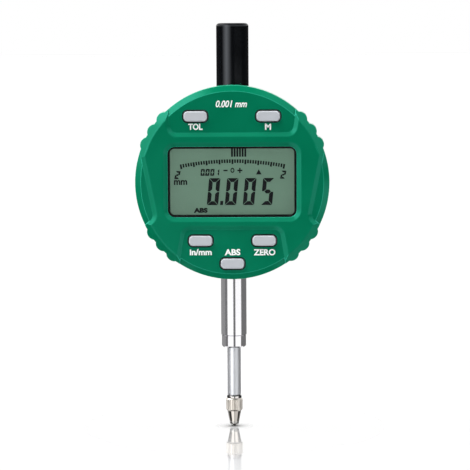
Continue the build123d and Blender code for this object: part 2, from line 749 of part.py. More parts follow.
with BuildPart() as data_connector:
    mouth_x, floor_x, back_x = CONNECTOR_X
    length, width = CONNECTOR
    with BuildSketch(side_plane(mouth_x)):
        Rectangle(width, length)
        Rectangle(width - 2 * CONNECTOR_WALL, length - 2 * CONNECTOR_WALL, mode=Mode.SUBTRACT)
        Rectangle(CONNECTOR_TONGUE[1], CONNECTOR_TONGUE[0])
    extrude(amount=floor_x - mouth_x)
    with BuildSketch(side_plane(floor_x)):
        Rectangle(width, length)
    extrude(amount=back_x - floor_x)
    # foot that stands on the board
    with BuildSketch(front(CASE_FLOOR_Y + PORT_BOARD_THICKNESS)):
        with Locations(((CONNECTOR_FOOT[0] + CONNECTOR_FOOT[1]) / 2, 0)):
            Rectangle(CONNECTOR_FOOT[1] - CONNECTOR_FOOT[0], length)
    extrude(amount=-(PORT_Y - width / 2 - CASE_FLOOR_Y - PORT_BOARD_THICKNESS))
keep(data_connector, "data_connector")

with BuildPart() as port_board:
    with BuildSketch(front(CASE_FLOOR_Y)):
        with Locations((PORT_BOARD_X, 0)):
            Rectangle(*PORT_BOARD)
    extrude(amount=-PORT_BOARD_THICKNESS)
keep(port_board, "port_board")

# ---------------------------------------------------------------- stem, bushes and cap

turned(
    "stem",
    [
        (STEM_BORE_R, STEM_END),
        (STEM_R, STEM_END),
        (STEM_R, STEM_TOP),
        (SHANK_R, STEM_TOP),
        (SHANK_R, STEM_INNER),
        (STEM_BORE_R, STEM_INNER),
    ],
)
turned(
    "lower_bush",
    [
        (GUIDE_R, BUSH_END),
        (BUSH_COLLAR_R - BUSH_CHAMFER, BUSH_END),
        (BUSH_COLLAR_R, BUSH_END + BUSH_CHAMFER),
        (BUSH_COLLAR_R, STEM_END - BUSH_NECK),
        (BUSH_COLLAR_R - BUSH_NECK, STEM_END),
        (STEM_BORE_R, STEM_END),
        (STEM_BORE_R, STEM_END + BUSH_DEPTH),
        (GUIDE_R, STEM_END + BUSH_DEPTH),
    ],
)
turned(
    "upper_bush",
    [
        (GUIDE_R, BOSS_INNER),
        (UPPER_BUSH_R, BOSS_INNER),
        (UPPER_BUSH_R, BOSS_END),
        (CAP_BORE_R, BOSS_END),
        (CAP_BORE_R, BOSS_END + SPIGOT_HEIGHT),
        (GUIDE_R, BOSS_END + SPIGOT_HEIGHT),
    ],
)
turned(
    "stop_bumper",
    [
        (BUMPER_BORE_R, STEM_INNER),
        (BUMPER_R, STEM_INNER),
        (BUMPER_R, BUMPER_TOP),
        (BUMPER_BORE_R, BUMPER_TOP),
    ],
)

with BuildPart() as spindle_cap:
    with BuildSketch(across(BOSS_END)):
        Circle(CAP_R)
    extrude(amount=CAP_TOP - BOSS_END)
    fillet(spindle_cap.edges().group_by(Axis.Z)[-1], CAP_EDGE)
    chamfer(spindle_cap.edges().group_by(Axis.Z)[0], CAP_FOOT_EDGE)
    with BuildSketch(across(BOSS_END)):
        Circle(CAP_BORE_R)
    extrude(amount=CAP_TOP - CAP_ROOF - BOSS_END, mode=Mode.SUBTRACT)
keep(spindle_cap, "spindle_cap")

# ---------------------------------------------------------------- spindle and what rides on it

turned(
    "spindle",
    [
        (0, SPINDLE_END + THREAD_DEPTH),
        (THREAD_R, SPINDLE_END + THREAD_DEPTH),
        (THREAD_R, SPINDLE_END),
        (SPINDLE_R - SPINDLE_EDGE, SPINDLE_END),
        (SPINDLE_R, SPINDLE_END + SPINDLE_EDGE),
        (SPINDLE_R, SPINDLE_TOP - SPINDLE_TOP_EDGE),
        (SPINDLE_R - SPINDLE_TOP_EDGE, SPINDLE_TOP),
        (0, SPINDLE_TOP),
    ],
)

turned(
    "contact_seal",
    [
        (THREAD_R, SEAL_END),
        (SEAL_RING_R, SEAL_END),
        (SEAL_RING_R, SPINDLE_END - SEAL_RING_EDGE),
        (SEAL_RING_R - SEAL_RING_EDGE, SPINDLE_END),
        (THREAD_R, SPINDLE_END),
    ],
)

with BuildPart() as contact_point:
    # knurled collar
    with BuildSketch(across(COLLAR_END)):
        Circle(COLLAR_R)
        with PolarLocations(COLLAR_R + KNURL_DEPTH * 0.4, KNURLS):
            Rectangle(KNURL_DEPTH * 1.8, KNURL_DEPTH * 1.8, rotation=45, mode=Mode.SUBTRACT)
    extrude(amount=SEAL_END - COLLAR_END)
    with BuildSketch(front(0)):
        with BuildLine():
            Polyline(
                (0, COLLAR_END),
                (COLLAR_R - COLLAR_CHAMFER, COLLAR_END),
                (COLLAR_R, COLLAR_END + COLLAR_CHAMFER),
                (COLLAR_R, SEAL_END - COLLAR_CHAMFER),
                (COLLAR_R - COLLAR_CHAMFER, SEAL_END),
                (0, SEAL_END),
                close=True,
            )
        make_face()
    revolve(axis=Axis.Z, mode=Mode.INTERSECT)
    # threaded stud and tapering nose, hollowed for the ball
    with BuildSketch(front(0)):
        with BuildLine():
            Polyline(
                (0, TIP_END + BALL_R),
                (NOSE_R, TIP_END + BALL_R),
                (CONE_R, COLLAR_END),
                (CONE_R, COLLAR_END + CONE_ROOT),
                (THREAD_R - FIT, COLLAR_END + CONE_ROOT),
                (THREAD_R - FIT, SPINDLE_END + STUD_LENGTH),
                (0, SPINDLE_END + STUD_LENGTH),
                close=True,
            )
        make_face()
    revolve(axis=Axis.Z)
    with Locations((0, 0, CASE_Z + TIP_END + BALL_R)):
        Sphere(BALL_R, mode=Mode.SUBTRACT)
keep(contact_point, "contact_point")

with BuildPart() as contact_ball:
    with Locations((0, 0, CASE_Z + TIP_END + BALL_R)):
        Sphere(BALL_R)
keep(contact_ball, "contact_ball")

turned(
    "stop_collar",
    [
        (SPINDLE_R, STOP_COLLAR_Z[0]),
        (STOP_COLLAR_R, STOP_COLLAR_Z[0]),
        (STOP_COLLAR_R, STOP_COLLAR_Z[1]),
        (SPINDLE_R, STOP_COLLAR_Z[1]),
    ],
)

with BuildPart() as carrier:
    # block clamped on the spindle, with an arm for the spring pin
    with BuildSketch(across(CARRIER_Z[0])):
        with Locations((0, (CARRIER_Y[0] + CARRIER_Y[1]) / 2)):
            RectangleRounded(2 * CARRIER_X, CARRIER_Y[1] - CARRIER_Y[0], 0.5)
    extrude(amount=CARRIER_Z[1] - CARRIER_Z[0])
    with BuildSketch(front(SPRING_ARM_Y[1])):
        with Locations((SPRING_X / 2, HOOK_PIN_Z)):
            Rectangle(SPRING_X, 2 * SPRING_ARM_R)
        with Locations((SPRING_X, HOOK_PIN_Z)):
            Circle(SPRING_ARM_R)
    extrude(amount=SPRING_ARM_Y[1] - SPRING_ARM_Y[0])
    with BuildSketch(across(CARRIER_Z[0])):
        Circle(SPINDLE_R)
    extrude(amount=CARRIER_Z[1] - CARRIER_Z[0], mode=Mode.SUBTRACT)
    # holes for the clamp screw, the guide pin and the spring pin
    with BuildSketch(front(CARRIER_Y[1])):
        with Locations((0, CLAMP_SCREW_Z)):
            Circle(SCREW_R)
    extrude(amount=CARRIER_Y[1], mode=Mode.SUBTRACT)
    with BuildSketch(Plane.YZ.offset(-CARRIER_X)):
        with Locations((0, CASE_Z + GUIDE_PIN_Z)):
            Circle(GUIDE_PIN_R)
    extrude(amount=CARRIER_X - SPINDLE_R, mode=Mode.SUBTRACT)
    with BuildSketch(front(SPRING_ARM_Y[1])):
        with Locations((SPRING_X, HOOK_PIN_Z)):
            Circle(SPRING_PIN_R)
    extrude(amount=SPRING_ARM_Y[1] - SPRING_ARM_Y[0], mode=Mode.SUBTRACT)
keep(carrier, "carrier")

with BuildPart() as clamp_screw:
    with BuildSketch(front(CARRIER_Y[1])):
        with Locations((0, CLAMP_SCREW_Z)):
            Circle(SCREW_R - FIT)
    extrude(amount=CARRIER_Y[1] - SPINDLE_R)
    with BuildSketch(front(CARRIER_Y[1])):
        with Locations((0, CLAMP_SCREW_Z)):
            RegularPolygon(CLAMP_KEY_R, 6)
    extrude(amount=CLAMP_KEY_DEPTH, mode=Mode.SUBTRACT)
keep(clamp_screw, "clamp_screw")

with BuildPart() as moving_scale:
    with BuildSketch(front(SCALE_Y[1])):
        with Locations((0, (SCALE_Z[0] + SCALE_Z[1]) / 2)):
            Rectangle(SCALE_WIDTH, SCALE_Z[1] - SCALE_Z[0])
    extrude(amount=SCALE_Y[1] - SCALE_Y[0])
keep(moving_scale, "moving_scale")

with BuildPart() as guide_pin:
    with BuildSketch(Plane.YZ.offset(GUIDE_PIN_X[0])):
        with Locations((0, CASE_Z + GUIDE_PIN_Z)):
            Circle(GUIDE_PIN_R)
    extrude(amount=GUIDE_PIN_X[1] - GUIDE_PIN_X[0])
keep(guide_pin, "guide_pin")

with BuildPart() as spring_pin:
    with BuildSketch(front(SPRING_ARM_Y[1])):
        with Locations((SPRING_X, HOOK_PIN_Z)):
            Circle(SPRING_PIN_R)
    extrude(amount=SPRING_ARM_Y[1] - SPRING_Y + SPRING_PIN_REACH)
keep(spring_pin, "spring_pin")

# ---------------------------------------------------------------- inside the rear case

with BuildPart() as guide_rail:
    guide_middle = -(GUIDE_X[0] + GUIDE_X[1]) / 2
    with BuildSketch(front(GUIDE_BACK_Y)):
        with Locations((guide_middle, (GUIDE_Z[0] + GUIDE_Z[1]) / 2)):
            Rectangle(GUIDE_X[0] - GUIDE_X[1], GUIDE_Z[1] - GUIDE_Z[0])
    extrude(amount=GUIDE_BACK_Y - CASE_FLOOR_Y)
    chamfer(guide_rail.edges().group_by(Axis.Y)[-1], 0.3)
    # slot that the guide pin slides in
    with BuildSketch(Plane.YZ.offset(-GUIDE_X[0] - 1)):
        with Locations((0, CASE_Z + (GUIDE_SLOT_Z[0] + GUIDE_SLOT_Z[1]) / 2)):
            Rectangle(2 * GUIDE_PIN_R + 2 * RUNNING_GAP, GUIDE_SLOT_Z[1] - GUIDE_SLOT_Z[0])
    extrude(amount=GUIDE_X[0] - GUIDE_X[1] + 2, mode=Mode.SUBTRACT)
    with BuildSketch(front(GUIDE_BACK_Y)):
        with Locations(*GUIDE_SCREWS):
            Circle(SCREW_R)
    extrude(amount=GUIDE_BACK_Y - CASE_FLOOR_Y, mode=Mode.SUBTRACT)
keep(guide_rail, "guide_rail")

screws(
    "guide_screws",
    GUIDE_SCREWS,
    GUIDE_BACK_Y + GUIDE_SCREW_HEAD[1],
    CASE_FLOOR_Y - BOSS_SCREW_DEPTH,
    *GUIDE_SCREW_HEAD,
)

with BuildPart() as sensor_board:
    with BuildSketch(front(SENSOR_BACK_Y)):
        RectangleRounded(2 * SENSOR_X, 2 * SENSOR_Z, 0.8)
        with Locations(*SENSOR_SCREWS):
            Circle(SCREW_R, mode=Mode.SUBTRACT)
    extrude(amount=SENSOR_BACK_Y - CASE_FLOOR_Y)
keep(sensor_board, "sensor_board")

screws(
    "sensor_screws",
    SENSOR_SCREWS,
    SENSOR_BACK_Y + SENSOR_SCREW_HEAD[1],
    CASE_FLOOR_Y - BOSS_SCREW_DEPTH,
    *SENSOR_SCREW_HEAD,
)

with BuildPart() as sensor_socket:
    with BuildSketch(front(CASE_FLOOR_Y)):
        with Locations((0, SENSOR_SOCKET_Z)):
            Rectangle(*SENSOR_SOCKET)
    extrude(amount=CASE_FLOOR_Y - RIBBON_BACK_Y - FIT)
keep(sensor_socket, "sensor_socket")


def ribbon_point(turns):
    """The point of the ribbon's spiral after a number of turns, starting from its lowest inner point."""
    radius = RIBBON_INNER_R + RIBBON_PITCH * turns
    angle = 2 * pi * turns - pi / 2
    return (radius * cos(angle), radius * sin(angle))


with BuildPart() as ribbon_cable:
    # flat cable wound in the hub, so that the head can turn either way
    with BuildSketch(front(RIBBON_BACK_Y)):
        with BuildLine():
            Spline(*[ribbon_point(i / RIBBON_STEPS) for i in range(int(RIBBON_TURNS * RIBBON_STEPS) + 1)])
        trace(line_width=RIBBON_THICKNESS)
    extrude(amount=RIBBON_BACK_Y - RIBBON_FRONT_Y)
keep(ribbon_cable, "ribbon_cable")

with BuildPart() as anchor_pin:
    with BuildSketch(front(CASE_FLOOR_Y)):
        with Locations((SPRING_X, ANCHOR_PIN_Z)):
            Circle(SPRING_PIN_R)
    extrude(amount=-(SPRING_Y + SPRING_PIN_REACH - CASE_FLOOR_Y))
keep(anchor_pin, "anchor_pin")

with BuildPart() as return_spring:
    # closely wound extension spring with an eye at each end
    coil_length = SPRING_COIL_Z[1] - SPRING_COIL_Z[0]
    with BuildLine() as coil:
        Helix(
            pitch=coil_length / SPRING_TURNS,
            height=coil_length,
            radius=SPRING_COIL_R,
            center=(SPRING_X, SPRING_Y, CASE_Z + SPRING_COIL_Z[0]),
        )
    with BuildSketch(Plane(origin=coil.line @ 0, z_dir=coil.line % 0)):
        Circle(SPRING_WIRE_R)
    sweep()
    for eye_z in SPRING_EYES_Z:
        with BuildSketch(across(eye_z)):
            with Locations((SPRING_X + SPRING_EYE_R, SPRING_Y)):
                Circle(SPRING_WIRE_R)
        revolve(axis=turn_axis(SPRING_X, eye_z))
keep(return_spring, "return_spring")

# ---------------------------------------------------------------- battery and its cap

with BuildPart() as battery_cradle:
    with BuildSketch(front(BATTERY_Y[1])):
        with Locations(BATTERY_PLACE):
            Circle(CRADLE_R)
    extrude(amount=BATTERY_Y[1] - CRADLE_Y)
    with BuildSketch(front(BATTERY_Y[1])):
        with Locations(BATTERY_PLACE):
            Circle(BATTERY_R + 0.1)
    extrude(amount=BATTERY_Y[1] - BATTERY_Y[0] + NEGATIVE_THICKNESS, mode=Mode.SUBTRACT)
    with BuildSketch(front(CRADLE_Y)):
        with Locations(*CRADLE_LEGS):
            Circle(CRADLE_LEG_R)
    extrude(amount=CRADLE_Y - CASE_FLOOR_Y)
keep(battery_cradle, "battery_cradle")

with BuildPart() as battery:
    with BuildSketch(front(BATTERY_Y[1])):
        with Locations(BATTERY_PLACE):
            Circle(BATTERY_R)
    extrude(amount=BATTERY_Y[1] - BATTERY_Y[0] - BATTERY_STEP)
    fillet(battery.edges().group_by(Axis.Y)[-1], BATTERY_STEP)
    with BuildSketch(front(BATTERY_Y[0] + BATTERY_STEP)):
        with Locations(BATTERY_PLACE):
            Circle(BATTERY_CAN_R)
    extrude(amount=BATTERY_STEP)
keep(battery, "battery")

with BuildPart() as negative_contact:
    with BuildSketch(front(BATTERY_Y[0])):
        with Locations(BATTERY_PLACE):
            Circle(NEGATIVE_RING[0])
            Circle(NEGATIVE_RING[1], mode=Mode.SUBTRACT)
            Rectangle(*NEGATIVE_BAR)
    extrude(amount=NEGATIVE_THICKNESS)
keep(negative_contact, "negative_contact")

with BuildPart() as battery_cap:
    with BuildSketch(front(CAP_FACE_Y)):
        with Locations(BATTERY_PLACE):
            Circle(BATTERY_CAP_R)
    extrude(amount=CAP_FACE_Y - COVER_BACK_Y + CAP_LEDGE - RUNNING_GAP)
    chamfer(battery_cap.edges().group_by(Axis.Y)[-1], 0.3)
    with BuildSketch(front(BATTERY_PLUG_Y)):
        with Locations(BATTERY_PLACE):
            Circle(BATTERY_PLUG_R)
    extrude(amount=BATTERY_PLUG_Y - COVER_Y - CONTACT_GAP)
    # coin slot, in a ring of dimples for a pin key
    with BuildSketch(front(CAP_FACE_Y)):
        with Locations(BATTERY_PLACE):
            SlotOverall(*COIN_SLOT)
    extrude(amount=COIN_SLOT_DEPTH, mode=Mode.SUBTRACT)
    with BuildSketch(front(CAP_FACE_Y)):
        with Locations(BATTERY_PLACE):
            with PolarLocations(BATTERY_CAP_R - 2 * GRIP_DIMPLE_R, GRIP_DIMPLES):
                Circle(GRIP_DIMPLE_R)
    extrude(amount=COIN_SLOT_DEPTH / 2, mode=Mode.SUBTRACT)
    # groove for the sealing ring
    with BuildSketch(front(CAP_SEAL_Y + CAP_SEAL_R)):
        with Locations(BATTERY_PLACE):
            Circle(BATTERY_PLUG_R + 0.5)
            Circle(BATTERY_PLUG_R - 2 * CAP_SEAL_R, mode=Mode.SUBTRACT)
    extrude(amount=2 * CAP_SEAL_R, mode=Mode.SUBTRACT)
keep(battery_cap, "battery_cap")

with BuildPart() as battery_cap_seal:
    with BuildSketch(Plane(origin=(0, 0, CASE_Z), x_dir=(1, 0, 0), z_dir=(0, 0, 1))):
        with Locations((BATTERY_PLACE[0] + BATTERY_PLUG_R - CAP_SEAL_R, CAP_SEAL_Y)):
            Circle(CAP_SEAL_R - FIT)
    revolve(axis=turn_axis(*BATTERY_PLACE))
keep(battery_cap_seal, "battery_cap_seal")

with BuildPart() as positive_contact:
    # ring on the inner face of the cap that bears on the battery
    with BuildSketch(front(COVER_Y + CONTACT_GAP)):
        with Locations(BATTERY_PLACE):
            Circle(POSITIVE_RING[0])
            Circle(POSITIVE_RING[1], mode=Mode.SUBTRACT)
    extrude(amount=COVER_Y + CONTACT_GAP - BATTERY_Y[1] - FIT)
keep(positive_contact, "positive_contact")

# ---------------------------------------------------------------- export

os.makedirs("parts", exist_ok=True)
for name, part in made.items():
    export_step(part, f"parts/{name}.step")
print(f"{len(made)} pieces")
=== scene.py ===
import json
import math

import bmesh
import bpy
from mathutils import Matrix, Vector


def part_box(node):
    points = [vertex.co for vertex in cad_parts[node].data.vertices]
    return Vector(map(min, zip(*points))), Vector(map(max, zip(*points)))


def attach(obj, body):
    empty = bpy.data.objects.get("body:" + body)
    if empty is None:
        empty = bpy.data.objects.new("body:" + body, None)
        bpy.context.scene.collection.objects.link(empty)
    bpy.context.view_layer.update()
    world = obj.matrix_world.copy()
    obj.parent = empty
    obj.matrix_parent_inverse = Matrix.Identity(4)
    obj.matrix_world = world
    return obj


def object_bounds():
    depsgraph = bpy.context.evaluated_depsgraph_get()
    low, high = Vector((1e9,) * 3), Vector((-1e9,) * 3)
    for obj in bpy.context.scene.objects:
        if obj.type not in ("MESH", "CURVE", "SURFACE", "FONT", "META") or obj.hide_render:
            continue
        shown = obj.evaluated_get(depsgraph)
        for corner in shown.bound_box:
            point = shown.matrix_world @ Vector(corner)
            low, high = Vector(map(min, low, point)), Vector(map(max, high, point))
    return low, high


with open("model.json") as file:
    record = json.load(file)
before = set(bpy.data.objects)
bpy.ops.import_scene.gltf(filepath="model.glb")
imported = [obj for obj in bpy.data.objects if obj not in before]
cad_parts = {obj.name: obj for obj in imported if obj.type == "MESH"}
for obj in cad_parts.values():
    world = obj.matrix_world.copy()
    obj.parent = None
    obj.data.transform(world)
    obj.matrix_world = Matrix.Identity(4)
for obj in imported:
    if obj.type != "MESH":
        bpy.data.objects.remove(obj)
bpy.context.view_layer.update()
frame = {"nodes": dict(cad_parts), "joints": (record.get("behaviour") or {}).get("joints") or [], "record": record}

MM = 0.001
nodes = frame["nodes"]
scene = bpy.context.scene
CASE_Z = next(j for j in frame["joints"] if j["name"] == "head_turn")["pos_m"][2]

# ---------------------------------------------------------------- camera

# places in metres, about the middle of the case
CAMERA_DISTANCE = 0.7
CAMERA_HEIGHT = 0.0491
CAMERA_SIDE = 0.0152
AIM_SIDE = 0.0005
AIM_DROP = 0.0175
ROLL = -0.32  # degrees
SENSOR = 36.0
LENS = 171.0
SEEN_FROM = 0.05
SEEN_TO = 50.0
camera_data = bpy.data.cameras.new("camera")
camera_data.sensor_width = SENSOR
camera_data.lens = LENS
camera_data.clip_start = SEEN_FROM
camera_data.clip_end = SEEN_TO
camera = bpy.data.objects.new("camera", camera_data)
camera.location = (CAMERA_SIDE, -CAMERA_DISTANCE, CASE_Z + CAMERA_HEIGHT)
aim = Vector((AIM_SIDE, 0.0, CASE_Z - AIM_DROP))
look = (aim - camera.location).to_track_quat("-Z", "Y")
camera.rotation_mode = "QUATERNION"
camera.rotation_quaternion = look @ Matrix.Rotation(math.radians(ROLL), 3, "Z").to_quaternion()
scene.collection.objects.link(camera)
scene.camera = camera

# ---------------------------------------------------------------- materials


def screen(r, g, b):
    """A linear colour from 0-255 screen values."""
    out = []
    for v in (r / 255.0, g / 255.0, b / 255.0):
        out.append(v / 12.92 if v <= 0.04045 else ((v + 0.055) / 1.055) ** 2.4)
    return (*out, 1.0)


def add(tree, kind, inputs=None, **settings):
    """A shader node with its settings, and its inputs set or linked."""
    made = tree.nodes.new(kind)
    for key, value in settings.items():
        setattr(made, key, value)
    for key, value in (inputs or {}).items():
        if isinstance(value, bpy.types.NodeSocket):
            tree.links.new(value, made.inputs[key])
        else:
            made.inputs[key].default_value = value
    return made


def maths(tree, operation, *values):
    """The result of one Math node on values and sockets."""
    return add(tree, "ShaderNodeMath", dict(enumerate(values)), operation=operation).outputs["Value"]


MATT = 0.3  # what a matt zone adds to the roughness
DRIFT = (0.3, 0.7)  # the part of the broad noise that the drifts of tone are drawn from
GRAIN = (0.7, 1.3)  # the same for the sum of both noises, in the roughness
# EDGE_TURN bounds the painted edge highlight: where it starts, and where it is full
EDGE_TURN = (0.998, 0.975)  # how alike the soft and the flat normal are where an edge starts, and on it
EDGE_SAMPLES = 8


def shade(colour, factor):
    """The colour made lighter or darker."""
    return (*(min(1.0, v * factor) for v in colour[:3]), 1.0)


def finish(
    name,
    colour,
    rough,
    metallic=0.0,
    specular=0.5,
    tint=(1.0, 1.0, 1.0),
    tone=0.06,
    tone_size=12.0,
    rough_range=0.06,
    grain=0.3,
    grain_depth=0.0,
    stretch=(1.0, 1.0, 1.0),
    matt_between=None,
    edge=0.0,
    edge_highlight=None,
):
    """A procedural finish: broad drifts of tone, and a fine grain in the roughness and the surface.

    tone_size and grain are the sizes of the drifts and of the grain in mm, grain_depth is the
    grain's depth in mm, and stretch squeezes the grain along an axis to draw it into lines.
    matt_between gives two heights in metres with a rougher finish between them.
    edge is the radius in mm that sharp edges are softened to, with a painted highlight in the
    edge_highlight colour along them. It needs a grain_depth.
    """
    mat = bpy.data.materials.new(name)
    mat.use_nodes = True
    tree = mat.node_tree
    bsdf = tree.nodes["Principled BSDF"]
    bsdf.inputs["Metallic"].default_value = metallic
    bsdf.inputs["Specular IOR Level"].default_value = specular
    bsdf.inputs["Specular Tint"].default_value = (*tint, 1.0)
    place = add(tree, "ShaderNodeTexCoord").outputs["Object"]
    drift = add(
        tree, "ShaderNodeTexNoise", {"Vector": place, "Scale": 1.0 / (tone_size * MM), "Detail": 3.0}
    ).outputs["Fac"]
    lines = add(tree, "ShaderNodeMapping", {"Vector": place, "Scale": stretch}).outputs["Vector"]
    fine = add(
        tree, "ShaderNodeTexNoise", {"Vector": lines, "Scale": 1.0 / (grain * MM), "Detail": 2.0}
    ).outputs["Fac"]
    ramp = add(tree, "ShaderNodeValToRGB", {"Fac": drift})
    ramp.color_ramp.elements[0].position = DRIFT[0]
    ramp.color_ramp.elements[0].color = shade(colour, 1.0 - tone)
    ramp.color_ramp.elements[1].position = DRIFT[1]
    ramp.color_ramp.elements[1].color = shade(colour, 1.0 + tone)
    tree.links.new(ramp.outputs["Color"], bsdf.inputs["Base Color"])
    both = maths(tree, "ADD", drift, fine)
    gloss = add(
        tree,
        "ShaderNodeMapRange",
        {
            "Value": both, "From Min": GRAIN[0], "From Max": GRAIN[1],
            "To Min": rough - rough_range, "To Max": rough + rough_range,
        },
    )
    roughness = gloss.outputs["Result"]
    if matt_between:
        height = add(tree, "ShaderNodeSeparateXYZ", {"Vector": place}).outputs["Z"]
        above = maths(tree, "GREATER_THAN", height, matt_between[0])
        below = maths(tree, "LESS_THAN", height, matt_between[1])
        matt = maths(tree, "MULTIPLY", above, below)
        roughness = maths(tree, "MULTIPLY_ADD", matt, MATT, roughness)
    tree.links.new(roughness, bsdf.inputs["Roughness"])
    if grain_depth:
        bump = add(
            tree, "ShaderNodeBump", {"Height": fine, "Strength": 1.0, "Distance": grain_depth * MM}
        )
        if edge:
            soft_edges = add(
                tree, "ShaderNodeBevel", {"Radius": edge * MM}, samples=EDGE_SAMPLES
            ).outputs["Normal"]
            tree.links.new(soft_edges, bump.inputs["Normal"])
            flat = add(tree, "ShaderNodeNewGeometry").outputs["Normal"]
            alike = add(tree, "ShaderNodeVectorMath", {0: soft_edges, 1: flat}, operation="DOT_PRODUCT")
            # painted highlight: the base colour turns to edge_highlight where the soft normal parts from the flat
            # one
            edge_highlight_share = add(
                tree, "ShaderNodeMapRange",
                {
                    "Value": alike.outputs["Value"], "From Min": EDGE_TURN[0], "From Max": EDGE_TURN[1],
                    "To Max": 1.0,
                },
            )
            highlighted = add(
                tree, "ShaderNodeMix",
                {"Factor": edge_highlight_share.outputs["Result"], "A": ramp.outputs["Color"], "B": edge_highlight},
                data_type="RGBA",
            )
            tree.links.new(highlighted.outputs["Result"], bsdf.inputs["Base Color"])
        tree.links.new(bump.outputs["Normal"], bsdf.inputs["Normal"])
    return mat


COLLAR_HEIGHT = 4.15 * MM
COLLAR_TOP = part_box("contact_seal")[0].z
COLLAR = (COLLAR_TOP - COLLAR_HEIGHT, COLLAR_TOP)
TURNED = (0.02, 0.02, 1.0)  # grain drawn round the spindle axis
FACED = (0.03, 1.0, 0.03)  # grain drawn across a turned face
STRIPED = (6.0, 1.0, 1.0)  # thin stripes side by side along X
LAYERED = (1.0, 6.0, 1.0)  # and along Y
MILLED = (1.0, 1.0, 0.05)  # grain drawn up and down
METAL = {"metallic": 1.0}

FINISHES = {
    # the head's edges carry a painted highlight in a lighter green
    "head_green": dict(
        colour=screen(0, 112, 78), rough=0.16, tint=(0.15, 1.0, 0.85), tone=0.05, grain=0.12,
        grain_depth=0.001, edge=0.26, edge_highlight=screen(48, 176, 146),
    ),
    "black_rubber": dict(colour=screen(10, 10, 11), rough=0.6, specular=0.15, grain=0.2, grain_depth=0.004),
    "grey_rubber": dict(colour=screen(130, 130, 136), rough=0.7, specular=0.3, grain=0.2, stretch=STRIPED),
    "white_plastic": dict(colour=screen(226, 226, 222), rough=0.5, grain=0.3, grain_depth=0.002),
    "board_green": dict(colour=screen(28, 92, 48), rough=0.35, tone=0.25, tone_size=3.0, grain=0.4),
    "chip_black": dict(colour=screen(30, 30, 32), rough=0.55, grain=0.08, grain_depth=0.002),
    "switch_steel": dict(colour=screen(200, 200, 204), rough=0.3, grain=0.1, **METAL),
    "screw_steel": dict(colour=screen(178, 178, 182), rough=0.28, grain=0.06, stretch=FACED, **METAL),
    "spring_steel": dict(colour=screen(190, 190, 194), rough=0.22, grain=0.1, **METAL),
    "button_grey": dict(
        colour=screen(187, 191, 197), rough=0.38, specular=0.4, tone=0.02, grain=0.1, grain_depth=0.001,
    ),
    "case_black": dict(colour=screen(42, 42, 45), rough=0.42, tone=0.1, grain=0.25, grain_depth=0.006),
    "cover_black": dict(colour=screen(50, 50, 53), rough=0.4, tone=0.1, grain=0.25, grain_depth=0.005),
    "cap_black": dict(
        colour=screen(2, 3, 5), rough=0.13, tint=(0.86, 0.92, 1.0), tone=0.1, grain=0.15, grain_depth=0.001,
    ),
    "door_black": dict(colour=screen(38, 38, 40), rough=0.34, tone=0.1, grain=0.2, grain_depth=0.003),
    "stem_steel": dict(
        colour=screen(222, 221, 224), rough=0.1, tone=0.02, rough_range=0.04, grain=0.05,
        grain_depth=0.0002, stretch=TURNED, **METAL,
    ),
    "spindle_steel": dict(
        colour=screen(216, 218, 222), rough=0.4, tone=0.03, rough_range=0.04, grain=0.05,
        grain_depth=0.0002, stretch=TURNED, **METAL,
    ),
    "tip_steel": dict(
        colour=screen(222, 216, 208), rough=0.08, tone=0.05, rough_range=0.02, grain=0.06,
        stretch=TURNED, matt_between=COLLAR, **METAL,
    ),
    "dark_steel": dict(
        colour=screen(214, 210, 208), rough=0.14, rough_range=0.03, grain=0.06, stretch=TURNED, **METAL,
    ),
    "ball_carbide": dict(colour=screen(190, 188, 184), rough=0.12, tone=0.03, grain=0.1, **METAL),
    "brass_bush": dict(colour=screen(214, 178, 92), rough=0.25, grain=0.06, stretch=TURNED, **METAL),
    "aluminium_block": dict(colour=screen(205, 206, 210), rough=0.35, grain=0.1, stretch=MILLED, **METAL),
    "scale_glass": dict(colour=screen(150, 120, 60), rough=0.3, tone=0.3, tone_size=1.0, grain=0.1),
    "ribbon_amber": dict(colour=screen(190, 110, 30), rough=0.3, grain=0.2, stretch=LAYERED),
    "battery_steel": dict(colour=screen(215, 215, 217), rough=0.22, grain=0.08, stretch=FACED, **METAL),
    "lcd_glass": dict(
        colour=screen(97, 127, 109), rough=0.45, specular=0.3, tone=0.035, tone_size=7.0, grain=0.1,
    ),
}
looks = {name: finish(name, **settings) for name, settings in FINISHES.items()}

# the window is all but clear, with a faint mirror sheen
PANE_ROUGH = 0.02
PANE_ALPHA = 0.012
pane = bpy.data.materials.new("clear_window")
pane.use_nodes = True
pane_bsdf = pane.node_tree.nodes["Principled BSDF"]
pane_bsdf.inputs["Base Color"].default_value = (1.0, 1.0, 1.0, 1.0)
pane_bsdf.inputs["Metallic"].default_value = 1.0
pane_bsdf.inputs["Roughness"].default_value = PANE_ROUGH
pane_bsdf.inputs["Alpha"].default_value = PANE_ALPHA
looks["clear_window"] = pane

# the rounded top of the cap is duller than its wall
DULL_FROM = 0.9 * MM  # below the top
DULL_TO = 0.5 * MM
WALL_SPECULAR = 0.5
TOP_SPECULAR = 0.12
cap_tree = looks["cap_black"].node_tree
cap_place = add(cap_tree, "ShaderNodeTexCoord").outputs["Object"]
cap_height = add(cap_tree, "ShaderNodeSeparateXYZ", {"Vector": cap_place}).outputs["Z"]
cap_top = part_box("spindle_cap")[1].z
dull = add(
    cap_tree,
    "ShaderNodeMapRange",
    {
        "Value": cap_height, "From Min": cap_top - DULL_FROM, "From Max": cap_top - DULL_TO,
        "To Min": WALL_SPECULAR, "To Max": TOP_SPECULAR,
    },
)
cap_tree.links.new(dull.outputs["Result"], cap_tree.nodes["Principled BSDF"].inputs["Specular IOR Level"])
